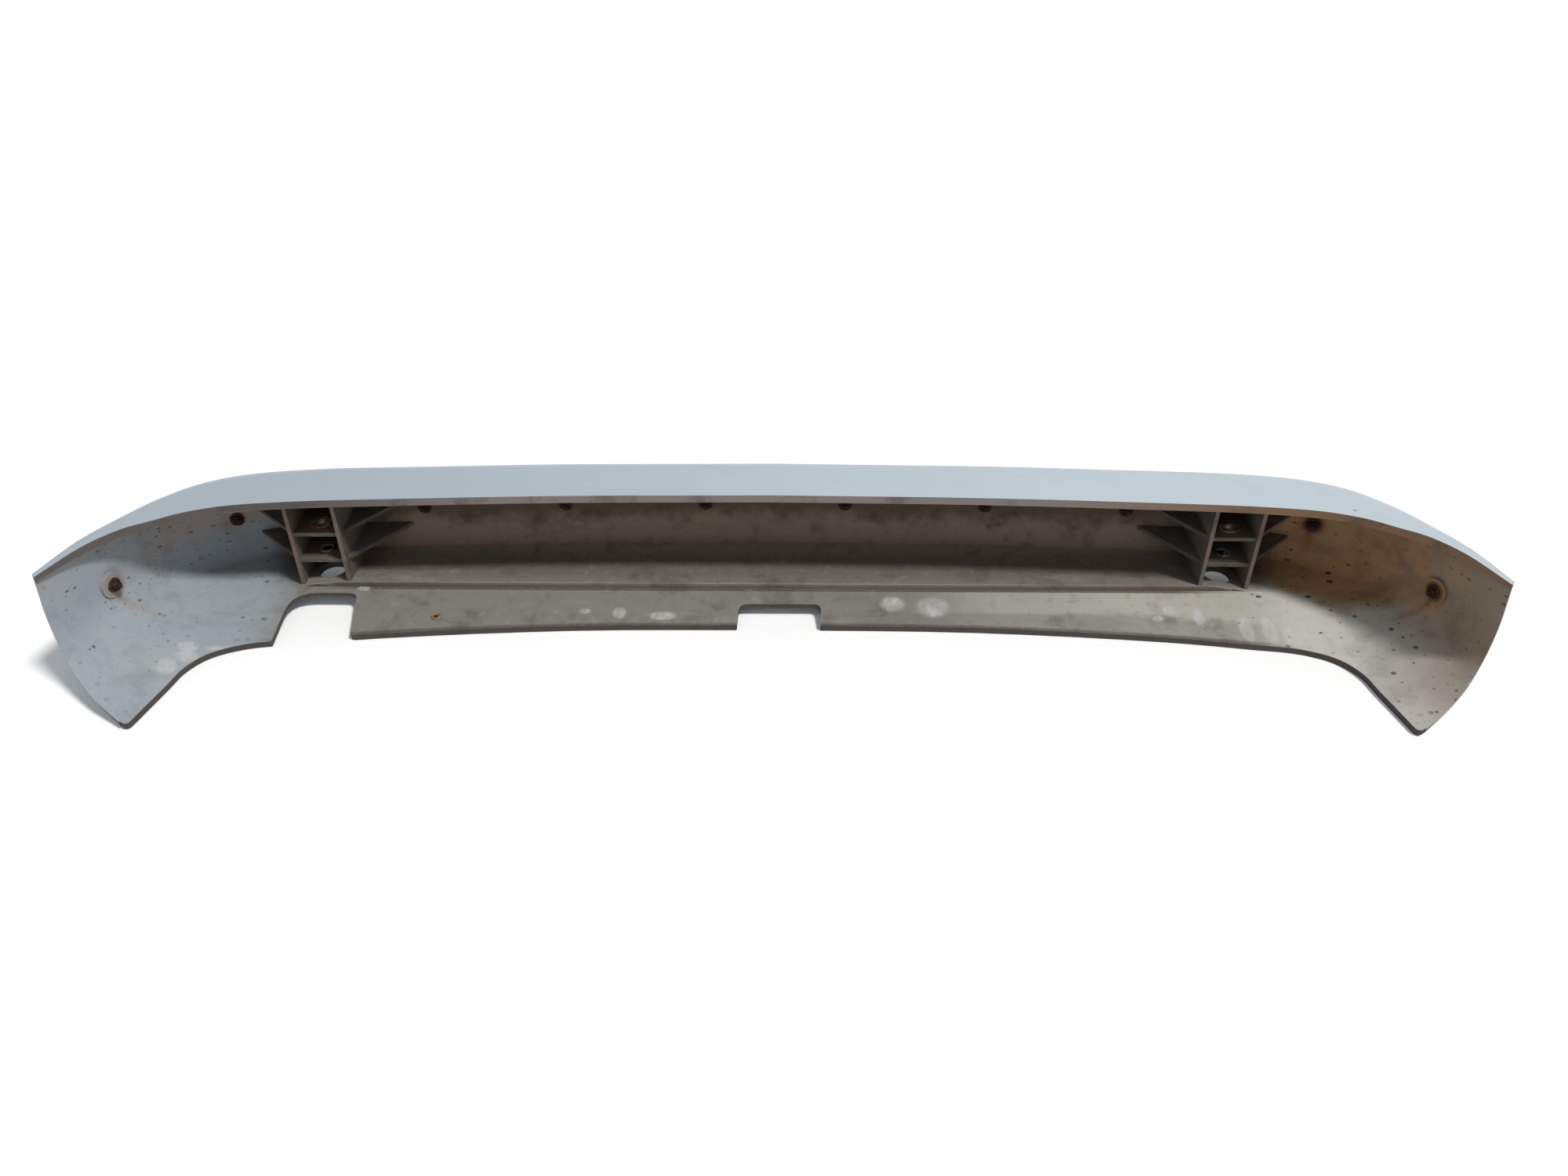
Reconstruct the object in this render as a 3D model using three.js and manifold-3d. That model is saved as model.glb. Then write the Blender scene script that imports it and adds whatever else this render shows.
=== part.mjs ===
// Rear bumper cover of a passenger car: a moulded shell with two bonded mount blocks and a bolted rub strip.
// +Z is up, +Y points out of the painted outer face, -Y points to the car, and +X is the right-hand side seen
// from the car. The cover stands on its lower edge, with the origin under the middle of the whole part.
import * as THREE from 'three';
import { mergeVertices } from 'three/addons/utils/BufferGeometryUtils.js';
import Module from 'manifold-3d';

const wasm = await Module();
wasm.setup();

// Overall sizes, mm
const width = 1640;
const depth = 368;
const height = 157;

// Shell
const wall = 6;
const flangeWidth = 108;
const rimHeight = 10;
const rimWidth = 8;
const topRadius = 35;
const floorRise = 31;
const floorRadius = 26;
const stepSetback = 119;
const stepHeight = 6.5;
const stepRadius = 12;
const stepSlant = 0.6;
const edgeSetback = 175;
const lipEndHeight = 8;
const lipThinning = 0.5;
const stepLeast = 0.1;
const rimTaper = 0.25;
const topRadiusLimit = 0.8;
const innerRadiusLimit = 0.9;
const innerRadiusLeast = 1;

// Plan of the corners and the wings
const crownDrop = 21;
const crownPower = 2;
const edgeSweep = 35;
const edgePower = 2.7;
const cornerInset = 232;
const centerShares = [0.43, 0.83];
const bendFaceInsets = [143, 89, 56];
const bendFaceSetbacks = [37, 65, 108];
const bendEdgeInsets = [172, 135, 117];
const bendEdgeSetbacks = [220, 239, 266];
const bendFlangeWidths = [103, 93, 72];
const wingFlangeWidths = [39, 20, 9];
const wingShares = [0.3, 0.6];
const wingKneeShare = 0.62;
const wingEndRise = 81;
const wingEndInset = 95;
const wingEndRadius = 7;
const wingEndTrim = 3.3;
const wingBow = 6;
const wingCornerDrop = 32;
const wingCurlRadius = 50;
const endCurlRadius = 90;
const wingTopRadius = 2;
const endBulge = 6;
const endCurlBulge = 6;

// Stations of a half, counted from the centre line, between which the section changes
const turnStations = [3, 5.5];
const curlStations = [4, 8];
const stepStations = [2.6, 3.4];
const topStations = [5, 8.5];

// Lower cut-outs. Each side stands off the cut-out's middle line at its top and at its mouth.
const exhaustInset = 246.5;
const exhaustSetback = 130;
const exhaustLeft = { top: 44.5, mouth: 44.5, cornerRadius: 34, mouthRadius: 1.5 };
const exhaustRight = { top: 41, mouth: 47.5, cornerRadius: 14, mouthRadius: 6.5 };
const notchSetback = 143;
const notchOffset = 5.5;
const notchLeft = { top: 51.5, mouth: 52.5, cornerRadius: 13, mouthRadius: 1.5 };
const notchRight = { top: 53.5, mouth: 52.5, cornerRadius: 9, mouthRadius: 1.5 };

// Mount blocks
const blockInset = 243;
const webSpacing = 60;
const webThickness = 5;
const shelfThickness = 5;
const shelfSpacing = 38.5;
const lowerShelfRise = 31.5;
const shelfRecess = 4;
const gussetRecess = 6;
const blockFrontSetback = 116;
const innerGussetReach = 78;
const outerGussetReach = 118;
const boltSetback = 88;
const accessHoleRadius = 18;
const upperBoreRadius = 6;
const upperFlangeRadius = 14;
const lowerBoreRadius = 7;
const lowerFlangeRadius = 9.5;
const bushWall = 2.2;
const bushFlange = 2;
const boreReach = 8;

// Rub strip and its fasteners
const stripHeight = 40;
const stripOffset = 1.5;
const stripBevels = [[5, 2], [1.5, 6], [0, 12]];
const stripProud = 16;
const stripJointInset = 228;
const stripEndInset = 26;
const stripJointGap = 1;
const slotMouth = 10;
const slotLip = 3;
const slotHeight = 22;
const slotDepth = 4.6;
const headLength = 20;
const headSlack = 2;
const studRadius = 3;
const studTail = 3;
const cornerStudInset = 116;
const wingStudInset = 85;
const studToWeb = 81;
const studHoleRadius = 4;
const washerRadius = 9;
const washerThickness = 1.6;
const nutFlats = 10;
const nutHeight = 5;
const bossRadius = 16.5;
const bossHeight = 3;
const bossRoot = 1.5;

// Lip eyelet
const eyeletInset = 394;
const eyeletSetback = 168;
const eyeletRadius = 4;
const eyeletFlangeRadius = 6;
const eyeletFlange = 1;
const eyeletWall = 1;

const clearance = 0.3;
const centerStudCount = 6;
const roundSides = 24;
const boreSides = 16;
const rowStep = 0.25;
const blockReach = 5;

const floorDrop = height - floorRise;
const lowerShelfDrop = floorDrop - lowerShelfRise;
const upperShelfDrop = lowerShelfDrop - shelfSpacing;
const stripDrop = (topRadius + floorDrop + wall - floorRadius) / 2 + stripOffset;
const halfWidth = width / 2;
const faceY = (depth - stripProud) / 2;
const cornerStart = halfWidth - cornerInset;
const blockX = halfWidth - blockInset;

function finish(color, roughness, metalness) {
  return new THREE.MeshStandardMaterial({ color, roughness, metalness });
}

const coverPlastic = finish('#8f9091', 0.55, 0);
const blockPlastic = finish('#7c766e', 0.7, 0);
const rustySteel = finish('#5a3d2b', 0.85, 0.4);
const bushSteel = finish('#8a8178', 0.6, 0.8);
const stripRubber = finish('#232425', 0.75, 0);
const eyeletBrass = finish('#a08c5c', 0.5, 0.8);

function toSolid(geometry) {
  const bare = geometry.clone();
  bare.deleteAttribute('normal');
  bare.deleteAttribute('uv');
  const merged = mergeVertices(bare, 1e-4);
  const vertProperties = new Float32Array(merged.attributes.position.array);
  const triVerts = new Uint32Array(merged.index.array);
  return new wasm.Manifold(new wasm.Mesh({ numProp: 3, vertProperties, triVerts }));
}

function toGeometry(solid) {
  const mesh = solid.getMesh();
  const geometry = new THREE.BufferGeometry();
  geometry.setAttribute('position', new THREE.BufferAttribute(new Float32Array(mesh.vertProperties), 3));
  geometry.setIndex(new THREE.BufferAttribute(new Uint32Array(mesh.triVerts), 1));
  const faceted = geometry.toNonIndexed();
  faceted.computeVertexNormals();
  return faceted;
}

function placed(geometry, x, y, z) {
  return toSolid(geometry.clone().translate(x, y, z));
}

// A cylinder along Y.
function rodY(radius, fromY, toY, sides = roundSides) {
  const rod = new THREE.CylinderGeometry(radius, radius, Math.abs(toY - fromY), sides);
  return rod.translate(0, (fromY + toY) / 2, 0);
}

// A ring along Y, turned from a profile of [radius, along] that closes on itself.
function ring(profile, sides = roundSides) {
  const closed = [...profile, profile[0]].map(([radius, along]) => new THREE.Vector2(radius, along));
  return new THREE.LatheGeometry(closed, sides);
}

// Joins rows of points into one closed skin, with the first and last rows as end faces. The rows run along +X,
// and the outline's plane has x inward and y up.
function loft(rows, capOutline) {
  const count = rows[0].length;
  const positions = rows.flat().flatMap((point) => [point.x, point.y, point.z]);
  const indices = [];
  const clockwise = THREE.ShapeUtils.isClockWise(capOutline);
  for (let row = 0; row < rows.length - 1; row += 1) {
    for (let i = 0; i < count; i += 1) {
      const next = (i + 1) % count;
      const a = row * count + i;
      const b = row * count + next;
      const c = a + count;
      const d = b + count;
      const quad = clockwise ? [a, b, c, b, d, c] : [a, c, b, b, c, d];
      indices.push(...quad);
    }
  }
  const cap = THREE.ShapeUtils.triangulateShape(capOutline, []);
  const last = (rows.length - 1) * count;
  for (const [a, b, c] of cap) {
    indices.push(a, b, c);
    indices.push(last + c, last + b, last + a);
  }
  const geometry = new THREE.BufferGeometry();
  geometry.setAttribute('position', new THREE.Float32BufferAttribute(positions, 3));
  geometry.setIndex(indices);
  return geometry;
}

function mix(from, to, share) {
  return from + (to - from) * share;
}

function smooth(from, to, value) {
  return THREE.MathUtils.smoothstep(value, from, to);
}

// Key stations of one half, from the centre line to the wing's end. Each holds the outer face's point and the
// lower edge's point as distances from the centre line and back from the face, and the flange's width.
function centerStation(share) {
  const x = cornerStart * share;
  const faceBack = crownDrop * share ** crownPower;
  return [x, faceBack, x, edgeSetback + edgeSweep * share ** edgePower, flangeWidth];
}

function bendStation(i) {
  const faceX = halfWidth - bendFaceInsets[i];
  const edgeX = halfWidth - bendEdgeInsets[i];
  return [faceX, bendFaceSetbacks[i], edgeX, bendEdgeSetbacks[i], bendFlangeWidths[i]];
}

// The lower edge runs past the wing's depth by what the rounding of its corner then takes off.
function wingStation(share, flange) {
  const [startX, startBack, startEdgeX, startEdgeBack] = bendStation(bendFaceInsets.length - 1);
  const endBack = depth + wingEndTrim;
  const faceX = mix(startX, halfWidth, share) + 4 * wingBow * share * (1 - share);
  const edgeX = mix(startEdgeX, halfWidth - wingEndInset, share);
  return [faceX, mix(startBack, depth - wingEndRise, share), edgeX, mix(startEdgeBack, endBack, share), flange];
}

const stations = [
  centerStation(0),
  centerStation(centerShares[0]),
  centerStation(centerShares[1]),
  centerStation(1),
  bendStation(0),
  bendStation(1),
  bendStation(2),
  wingStation(wingShares[0], wingFlangeWidths[0]),
  wingStation(wingShares[1], wingFlangeWidths[1]),
  wingStation(1, wingFlangeWidths[2]),
];
const lastStation = stations.length - 1;

const faceCurve = new THREE.CatmullRomCurve3(
  stations.map(([faceX, faceBack, , , flange]) => new THREE.Vector3(faceX, faceY - faceBack, flange)),
);
const edgeCurve = new THREE.CatmullRomCurve3(
  stations.map(([, , edgeX, edgeBack]) => new THREE.Vector3(edgeX, faceY - edgeBack, 0)),
);

// The outer face's point at a station, with its outward direction. Negative stations are the left half.
function faceAt(station) {
  const side = Math.sign(station) || 1;
  const share = Math.min(Math.abs(station) / lastStation, 1);
  const point = faceCurve.getPoint(share);
  const ahead = faceCurve.getPoint(Math.min(share + 0.002, 1));
  const behind = faceCurve.getPoint(Math.max(share - 0.002, 0));
  const along = new THREE.Vector2(ahead.x - behind.x, ahead.y - behind.y).normalize();
  if (station === 0) {
    along.set(1, 0);
  }
  return { x: side * point.x, y: point.y, outX: -side * along.y, outY: along.x, flange: point.z };
}

// The station where a measure of the outer face reaches a value.
function stationWhere(measure, value) {
  let low = 0;
  let high = lastStation;
  for (let i = 0; i < 50; i += 1) {
    const middle = (low + high) / 2;
    if (measure(faceAt(middle)) < value) {
      low = middle;
    } else {
      high = middle;
    }
  }
  return low;
}

// Follows corners [across, drop, radius, steps], turning each radius into an arc.
function roundedPath(corners) {
  const points = corners.map(([across, drop]) => new THREE.Vector2(across, -drop));
  const path = [];
  corners.forEach(([, , radius, steps], i) => {
    if (!radius) {
      path.push(points[i]);
      return;
    }
    const before = points[i - 1].clone().sub(points[i]).normalize();
    const after = points[i + 1].clone().sub(points[i]).normalize();
    const halfAngle = Math.acos(THREE.MathUtils.clamp(before.dot(after), -1, 1)) / 2;
    const reach = radius / Math.tan(halfAngle);
    const toCenter = before.clone().add(after).normalize();
    const center = points[i].clone().addScaledVector(toCenter, radius / Math.sin(halfAngle));
    const from = points[i].clone().addScaledVector(before, reach).sub(center);
    const to = points[i].clone().addScaledVector(after, reach).sub(center);
    const sweep = Math.atan2(from.x * to.y - from.y * to.x, from.dot(to));
    for (let step = 0; step <= steps; step += 1) {
      path.push(from.clone().rotateAround(new THREE.Vector2(), (sweep * step) / steps).add(center));
    }
  });
  return path;
}

// Sizes of the section at a station: across is inward from the outer face, drop is down from the top.
function sectionSizes(station, flange, reach) {
  const place = Math.abs(station);
  const turn = smooth(...turnStations, place);
  const curl = smooth(...curlStations, place);
  const curlRadius = mix(wingCurlRadius, endCurlRadius, smooth(lastStation - 1, lastStation, place));
  const cornerDrop = mix(floorDrop + wall, stripDrop + wingCornerDrop, curl);
  const slope = (height - cornerDrop) / reach;
  const faceSetback = faceY - faceAt(place).y;
  const kneeAcross = mix(stepSetback - faceSetback, reach * wingKneeShare, turn);
  const kneeDrop = mix(floorDrop + wall + stepHeight - lipThinning, cornerDrop + slope * kneeAcross, turn);
  const wingInnerDrop = cornerDrop + slope * wall - wall * Math.hypot(1, slope);
  const fadedTopRadius = topRadius * (1 - smooth(...topStations, place)) + wingTopRadius;
  return {
    flange,
    reach,
    cornerDrop,
    cornerRadius: mix(floorRadius, curlRadius, curl),
    kneeAcross,
    kneeDrop,
    step: stepHeight * (1 - smooth(...stepStations, place)),
    innerDrop: mix(floorDrop, wingInnerDrop, turn),
    topRadius: Math.min(fadedTopRadius, flange * topRadiusLimit),
    rimWidth: Math.min(rimWidth, (flange - wall) / 2),
    rimHeight: Math.min(rimHeight, wall + (flange - wall) * rimTaper),
  };
}

function outerPath(size) {
  return roundedPath([
    [size.flange, 0, 0],
    [0, 0, size.topRadius, 6],
    [0, size.cornerDrop, size.cornerRadius, 7],
    [size.kneeAcross, size.kneeDrop, stepRadius, 2],
    [size.reach, height, 0],
  ]);
}

// The inner skin, from the lower edge back up to the flange's rim. Extra lifts it off the shell.
function innerPath(size, extra) {
  const skin = wall + extra;
  const rimAcross = size.flange - size.rimWidth - extra;
  const cornerRadius = Math.max(size.topRadius - skin, innerRadiusLeast);
  const kneeDrop = size.kneeDrop - wall + lipThinning - extra;
  return roundedPath([
    [size.reach, height - lipEndHeight - extra, 0],
    [size.kneeAcross, kneeDrop, 0],
    [size.kneeAcross - stepSlant - extra, kneeDrop - stepLeast - size.step, 0],
    [skin, size.innerDrop - extra, size.cornerRadius - skin, 7],
    [skin, skin, Math.min(cornerRadius, (rimAcross - skin) * innerRadiusLimit), 6],
    [rimAcross, skin, 0],
    [rimAcross, size.rimHeight + extra, 0],
    [size.flange, size.rimHeight + extra, 0],
  ]);
}

// Sets a path in a station's upright plane, which runs from the outer face to the lower edge.
function setAtStation(path, station) {
  const side = Math.sign(station) || 1;
  const face = faceAt(station);
  const edge = edgeCurve.getPoint(Math.min(Math.abs(station) / lastStation, 1));
  const inward = new THREE.Vector2(side * edge.x - face.x, edge.y - face.y).normalize();
  const atEnd = smooth(lastStation - 2, lastStation, Math.abs(station));
  const reach = Math.hypot(side * edge.x - face.x, edge.y - face.y);
  return path.map((point) => {
    const downShare = THREE.MathUtils.clamp(-point.y / height, 0, 1);
    const inShare = THREE.MathUtils.clamp(point.x / reach, 0, 1);
    const wallLean = side * atEnd * endBulge * Math.sin(Math.PI * downShare);
    const curlLean = side * atEnd * endCurlBulge * Math.sin(Math.PI * inShare);
    const x = face.x + inward.x * point.x + wallLean * face.outY - curlLean * inward.y;
    const y = face.y + inward.y * point.x - wallLean * face.outX + curlLean * inward.x;
    return new THREE.Vector3(x, y, height + point.y);
  });
}

function reachAt(station) {
  const face = faceAt(station);
  const edge = edgeCurve.getPoint(Math.min(Math.abs(station) / lastStation, 1));
  return Math.hypot(edge.x - Math.abs(face.x), edge.y - face.y);
}

// Lofts a section along the stations.
function loftSections(from, to, step, sectionAt) {
  const count = Math.round((to - from) / step);
  const rows = [];
  let outline = [];
  for (let i = 0; i <= count; i += 1) {
    const station = from + ((to - from) * i) / count;
    const path = sectionAt(station);
    outline = i === 0 ? path : outline;
    rows.push(setAtStation(path, station));
  }
  return loft(rows, outline);
}

function shellSection(station) {
  const size = sectionSizes(station, faceAt(station).flange, reachAt(station));
  return [...outerPath(size), ...innerPath(size, 0)];
}

// The room inside the shell, up to the front of the flange, kept clear of it by the named clearance.
function roomSection(station) {
  const size = sectionSizes(station, faceAt(station).flange, reachAt(station));
  return innerPath(size, clearance);
}

// The lower edge's y at a distance from the centre line.
function edgeYAt(x) {
  let low = 0;
  let high = 1;
  for (let i = 0; i < 50; i += 1) {
    const middle = (low + high) / 2;
    if (edgeCurve.getPoint(middle).x < Math.abs(x)) {
      low = middle;
    } else {
      high = middle;
    }
  }
  return edgeCurve.getPoint(low).y;
}

// An upright prism whose plan is open to the lower edge, with rounded inner corners and a rounded mouth.
function edgeCut(centerX, setback, left, right) {
  const topY = faceY - setback;
  const outY = faceY - depth;
  const leftX = centerX - left.mouth;
  const rightX = centerX + right.mouth;
  const leftEnd = leftX - left.mouthRadius;
  const rightEnd = rightX + right.mouthRadius;
  const leftTop = centerX - left.top;
  const rightTop = centerX + right.top;
  const shape = new THREE.Shape();
  shape.moveTo(leftEnd, outY);
  shape.lineTo(leftEnd, edgeYAt(leftEnd));
  shape.quadraticCurveTo(leftX, edgeYAt(leftX), leftX, edgeYAt(leftX) + left.mouthRadius);
  shape.lineTo(leftTop, topY - left.cornerRadius);
  shape.quadraticCurveTo(leftTop, topY, leftTop + left.cornerRadius, topY);
  shape.lineTo(rightTop - right.cornerRadius, topY);
  shape.quadraticCurveTo(rightTop, topY, rightTop, topY - right.cornerRadius);
  shape.lineTo(rightX, edgeYAt(rightX) + right.mouthRadius);
  shape.quadraticCurveTo(rightX, edgeYAt(rightX), rightEnd, edgeYAt(rightEnd));
  shape.lineTo(rightEnd, outY);
  shape.closePath();
  const prism = new THREE.ExtrudeGeometry(shape, { depth: height, bevelEnabled: false, curveSegments: 5 });
  return placed(prism, 0, 0, -height / 2);
}

// An upright prism that rounds the lower corner at the end of a wing.
function cornerCut(side) {
  const end = side * lastStation;
  const size = sectionSizes(end, faceAt(end).flange, reachAt(end));
  const [corner, along] = setAtStation(
    [new THREE.Vector2(size.reach, -height), new THREE.Vector2(size.reach - 2 * wingEndRadius, -height)],
    end,
  ).map((point) => new THREE.Vector2(point.x, point.y));
  const edge = edgeCurve.getPoint(1 - wingEndRadius / depth / 2);
  const toFace = along.sub(corner).normalize();
  const toEdge = new THREE.Vector2(side * edge.x, edge.y).sub(corner).normalize();
  const halfAngle = Math.acos(toFace.dot(toEdge)) / 2;
  const reach = wingEndRadius / Math.tan(halfAngle);
  const from = corner.clone().addScaledVector(toFace, reach);
  const to = corner.clone().addScaledVector(toEdge, reach);
  const outside = corner.clone().addScaledVector(toFace.clone().add(toEdge), -wingEndRadius);
  const shape = new THREE.Shape();
  shape.moveTo(outside.x, outside.y);
  shape.lineTo(from.x, from.y);
  shape.quadraticCurveTo(corner.x, corner.y, to.x, to.y);
  shape.closePath();
  const prism = new THREE.ExtrudeGeometry(shape, { depth: height, bevelEnabled: false, curveSegments: 6 });
  return placed(prism, 0, 0, -height / 2);
}

function uprightRod(x, setback, radius, fromZ, toZ, sides = roundSides) {
  const rod = new THREE.CylinderGeometry(radius, radius, toZ - fromZ, sides);
  rod.rotateX(Math.PI / 2);
  return placed(rod, x, faceY - setback, (fromZ + toZ) / 2);
}

const eyeletX = -(halfWidth - eyeletInset);

// A matrix that sets a geometry made along Z square on the lip at the eyelet.
function eyeletMatrix() {
  const station = -stationWhere((face) => face.x, -eyeletX);
  const size = sectionSizes(station, flangeWidth, reachAt(station));
  const inset = faceY - faceAt(station).y;
  const across = eyeletSetback - inset;
  const share = (across - size.kneeAcross) / (size.reach - size.kneeAcross);
  const lipStart = size.kneeDrop - wall + lipThinning;
  const drop = mix(lipStart, height - lipEndHeight, share);
  const lipAngle = Math.atan2(height - lipEndHeight - lipStart, size.reach - size.kneeAcross);
  const matrix = new THREE.Matrix4().makeRotationX(lipAngle);
  matrix.setPosition(eyeletX, faceY - eyeletSetback, height - drop);
  return matrix;
}

// Ten studs: six spaced evenly between the blocks, one in each corner and one in each wing.
function studStations() {
  const outermost = blockX - webSpacing / 2 - studToWeb;
  const center = Array.from({ length: centerStudCount }, (unused, i) => {
    const x = mix(-outermost, outermost, i / (centerStudCount - 1));
    return Math.sign(x) * stationWhere((face) => face.x, Math.abs(x));
  });
  const corner = stationWhere((face) => face.x, halfWidth - cornerStudInset);
  const wing = stationWhere((face) => -face.y, depth - wingEndRise - wingStudInset - faceY);
  return [-wing, -corner, ...center, corner, wing];
}

// A matrix that puts y = 0 on the outer face at a stud, with +Y outward.
function studMatrix(station) {
  const face = faceAt(station);
  const matrix = new THREE.Matrix4().makeRotationZ(-Math.atan2(face.outX, face.outY));
  matrix.setPosition(face.x, face.y, height - stripDrop);
  return matrix;
}

function isWing(station) {
  return Math.abs(station) > lastStation - 3;
}

function bumperCover() {
  let shell = toSolid(loftSections(-lastStation, lastStation, rowStep, shellSection));
  for (const station of studStations()) {
    const matrix = studMatrix(station);
    if (isWing(station)) {
      const boss = rodY(bossRadius, -wall - bossHeight, -wall + bossRoot).applyMatrix4(matrix);
      shell = shell.add(toSolid(boss));
    }
    const hole = rodY(studHoleRadius, -4 * wall, 2 * wall, boreSides).applyMatrix4(matrix);
    shell = shell.subtract(toSolid(hole));
  }
  shell = shell.subtract(edgeCut(-(halfWidth - exhaustInset), exhaustSetback, exhaustLeft, exhaustRight));
  shell = shell.subtract(edgeCut(notchOffset, notchSetback, notchLeft, notchRight));
  for (const side of [-1, 1]) {
    shell = shell.subtract(uprightRod(side * blockX, boltSetback, accessHoleRadius, -wall, floorRise + wall));
    shell = shell.subtract(cornerCut(side));
  }
  const holeRadius = eyeletRadius + clearance;
  const eyeletHole = new THREE.CylinderGeometry(holeRadius, holeRadius, 10 * wall, boreSides);
  eyeletHole.rotateX(Math.PI / 2).applyMatrix4(eyeletMatrix());
  shell = shell.subtract(toSolid(eyeletHole));
  return toGeometry(shell);
}

// A block of two webs, two shelves and four gussets, trimmed to the shell's inside.
function mountBlock(side, room) {
  const frontY = faceY - blockFrontSetback;
  const backY = faceY;
  const middleY = (frontY + backY) / 2;
  const centerX = side * blockX;
  let block = null;
  for (const webSide of [-1, 1]) {
    const web = new THREE.BoxGeometry(webThickness, backY - frontY, height);
    const webSolid = placed(web, centerX + (webSide * webSpacing) / 2, middleY, height / 2);
    block = block ? block.add(webSolid) : webSolid;
  }
  for (const drop of [upperShelfDrop, lowerShelfDrop]) {
    const shelf = new THREE.BoxGeometry(webSpacing, backY - frontY - shelfRecess, shelfThickness);
    const shelfZ = height - drop - shelfThickness / 2;
    block = block.add(placed(shelf, centerX, middleY + shelfRecess / 2, shelfZ));
    for (const webSide of [-1, 1]) {
      const outline = new THREE.Shape();
      outline.moveTo(0, frontY + gussetRecess);
      outline.lineTo(webSide * (webSide === side ? outerGussetReach : innerGussetReach), backY);
      outline.lineTo(0, backY);
      outline.closePath();
      const gusset = new THREE.ExtrudeGeometry(outline, { depth: shelfThickness, bevelEnabled: false });
      block = block.add(placed(gusset, centerX + (webSide * webSpacing) / 2, 0, shelfZ - shelfThickness / 2));
    }
  }
  const upperHole = upperBoreRadius + bushWall + clearance;
  const lowerHole = lowerBoreRadius + bushWall + clearance;
  const boreSplit = height - lowerShelfDrop + boreReach;
  block = block.subtract(uprightRod(centerX, boltSetback, upperHole, boreSplit, height));
  block = block.subtract(uprightRod(centerX, boltSetback, lowerHole, 0, boreSplit));
  return toGeometry(block.intersect(room));
}

// A flanged steel bush that lines a shelf's bolt hole, made along Z with its flange on the shelf's top.
function bush(boreRadius, flangeRadius) {
  const barrel = boreRadius + bushWall;
  const profile = [
    [boreRadius, -shelfThickness],
    [barrel, -shelfThickness],
    [barrel, clearance],
    [flangeRadius, clearance],
    [flangeRadius, clearance + bushFlange],
    [boreRadius, clearance + bushFlange],
  ];
  return ring(profile).rotateX(Math.PI / 2);
}

// The rub strip between two stations, with a slot along its back for the stud heads.
function rubStrip(from, to) {
  const half = stripHeight / 2;
  const back = clearance;
  const bevels = stripBevels.map(([below, inset]) => [stripProud - below, half - inset]);
  const profile = [
    [back, -half],
    ...bevels.map(([out, up]) => [out, -up]),
    ...bevels.reverse(),
    [back, half],
    [back, slotMouth / 2],
    [back + slotLip, slotMouth / 2],
    [back + slotLip, slotHeight / 2],
    [back + slotLip + slotDepth, slotHeight / 2],
    [back + slotLip + slotDepth, -slotHeight / 2],
    [back + slotLip, -slotHeight / 2],
    [back + slotLip, -slotMouth / 2],
    [back, -slotMouth / 2],
  ].map(([out, up]) => new THREE.Vector2(-out, up)).reverse();
  const count = Math.round((to - from) / rowStep);
  const rows = [];
  for (let i = 0; i <= count; i += 1) {
    const face = faceAt(mix(from, to, i / count));
    rows.push(profile.map(({ x, y }) => new THREE.Vector3(
      face.x - face.outX * x,
      face.y - face.outY * x,
      height - stripDrop + y,
    )));
  }
  return loft(rows, profile);
}

// A stud along Y with a flat head in the strip's slot, its tail ending past the nut.
function stripStud(seat) {
  const headStart = clearance + slotLip + clearance;
  const headThickness = slotDepth - 4 * clearance;
  const head = new THREE.BoxGeometry(headLength, headThickness, slotHeight - headSlack);
  const tailY = -(seat + washerThickness + nutHeight + 2 * clearance + studTail);
  const shank = rodY(studRadius, tailY, headStart + headThickness / 2, boreSides);
  return toGeometry(placed(head, 0, headStart + headThickness / 2, 0).add(toSolid(shank)));
}

function stripWasher(seat) {
  const near = -(seat + clearance);
  const far = near - washerThickness;
  const bore = studRadius + clearance;
  return ring([[bore, far], [washerRadius, far], [washerRadius, near], [bore, near]]);
}

function stripNut(seat) {
  const near = -(seat + washerThickness + 2 * clearance);
  const body = rodY(nutFlats / Math.sqrt(3), near - nutHeight, near, 6);
  const bore = rodY(studRadius + clearance, near - 2 * nutHeight, near + nutHeight, boreSides);
  return toGeometry(toSolid(body).subtract(toSolid(bore)));
}

// An eyelet along Z, with its flange on the lip's upper face.
function lipEyelet() {
  const bore = eyeletRadius - eyeletWall;
  const profile = [
    [bore, -wall],
    [eyeletRadius, -wall],
    [eyeletRadius, clearance],
    [eyeletFlangeRadius, clearance],
    [eyeletFlangeRadius, clearance + eyeletFlange],
    [bore, clearance + eyeletFlange],
  ];
  return ring(profile, boreSides).rotateX(Math.PI / 2);
}

const bumper = new THREE.Group();

function addPiece(name, geometry, material, matrix = new THREE.Matrix4()) {
  const mesh = new THREE.Mesh(geometry, material);
  mesh.name = name;
  mesh.applyMatrix4(matrix);
  bumper.add(mesh);
  return mesh;
}

function shelfSeat(side, drop) {
  return new THREE.Matrix4().makeTranslation(side * blockX, faceY - boltSetback, height - drop);
}

function addMountBlocks() {
  const room = toSolid(loftSections(-blockReach, blockReach, rowStep, roomSection));
  for (const [sideName, side] of [['left', -1], ['right', 1]]) {
    addPiece(`mount_block_${sideName}`, mountBlock(side, room), blockPlastic);
    const upper = bush(upperBoreRadius, upperFlangeRadius);
    const lower = bush(lowerBoreRadius, lowerFlangeRadius);
    addPiece(`upper_bush_${sideName}`, upper, bushSteel, shelfSeat(side, upperShelfDrop));
    addPiece(`lower_bush_${sideName}`, lower, bushSteel, shelfSeat(side, lowerShelfDrop));
  }
}

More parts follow.
